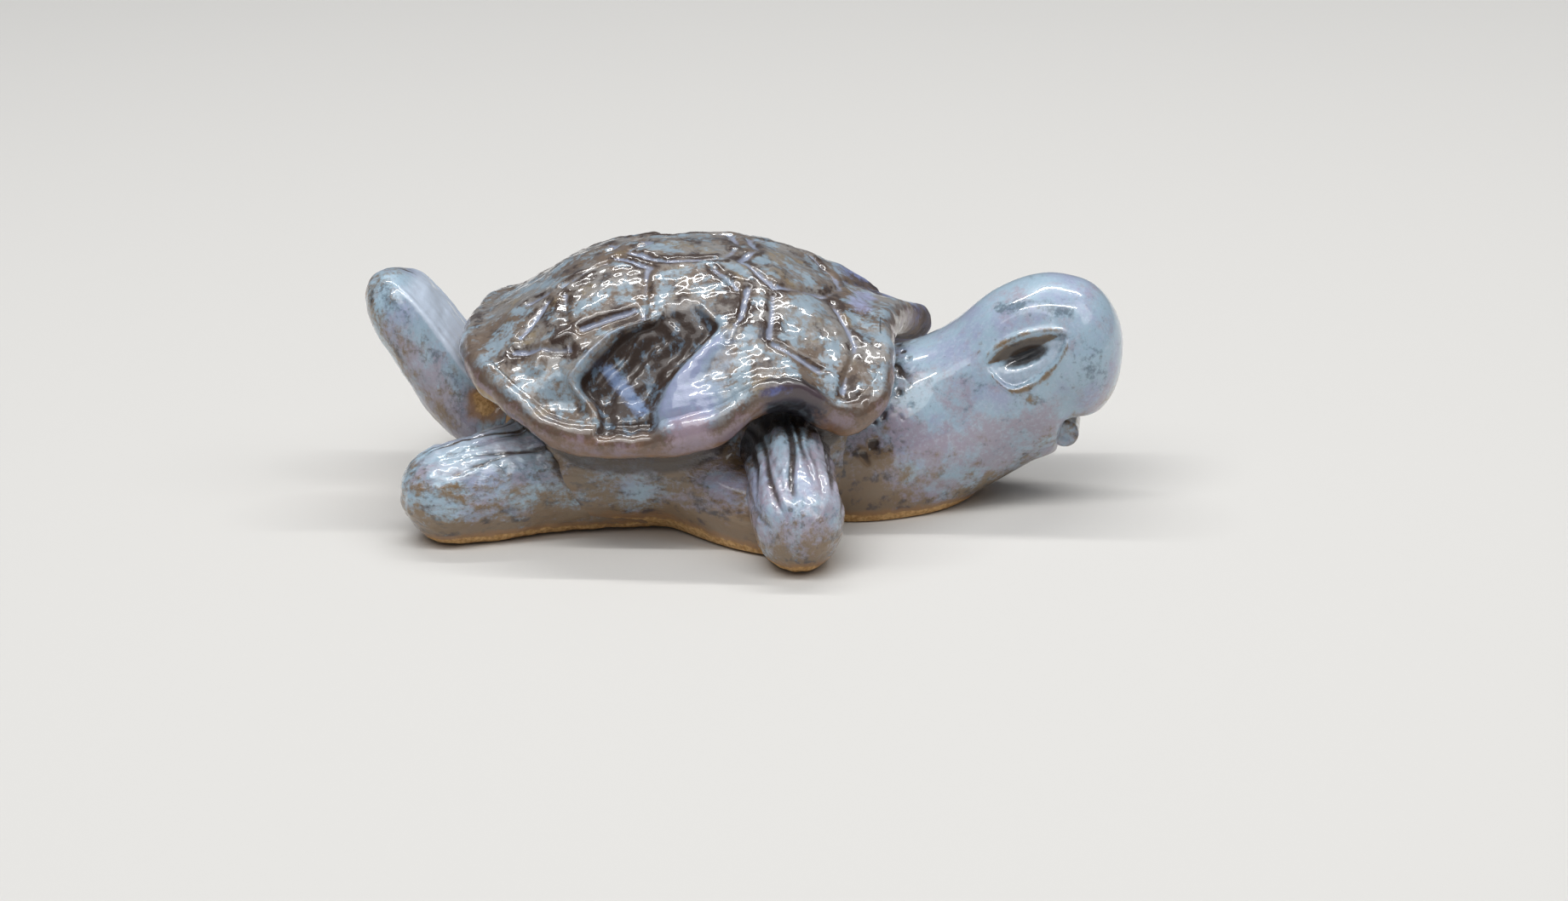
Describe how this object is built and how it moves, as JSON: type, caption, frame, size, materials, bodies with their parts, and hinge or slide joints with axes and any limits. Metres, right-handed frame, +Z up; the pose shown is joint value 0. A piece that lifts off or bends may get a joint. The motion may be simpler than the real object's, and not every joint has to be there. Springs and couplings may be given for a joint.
{
  "type": "turtle figurine",
  "caption": "Hand-built glazed stoneware turtle lying flat, with a draped carapace on a waving rim, raised head, stub legs and upturned tail; a free-standing ornament.",
  "frame": {"origin": "centre of the bounding box on the table that the turtle lies on", "axes": "+X towards the head, +Y to the turtle's left, +Z up"},
  "size_m": [0.1385, 0.0968, 0.0482],
  "materials": {
    "body_glaze": "glossy lavender-blue glaze breaking to olive brown, bare tan clay along the foot",
    "shell_glaze": "glossy dark brown glaze with blue and lavender streaks, pale in the incised lines"
  },
  "bodies": {
    "root": {"torso": "body_glaze", "carapace": "shell_glaze", "head_and_neck": "body_glaze", "lower_jaw": "body_glaze", "front_left_leg": "body_glaze", "front_right_leg": "body_glaze", "hind_left_leg": "body_glaze", "hind_right_leg": "body_glaze", "tail": "body_glaze"}
  },
  "joints": []
}
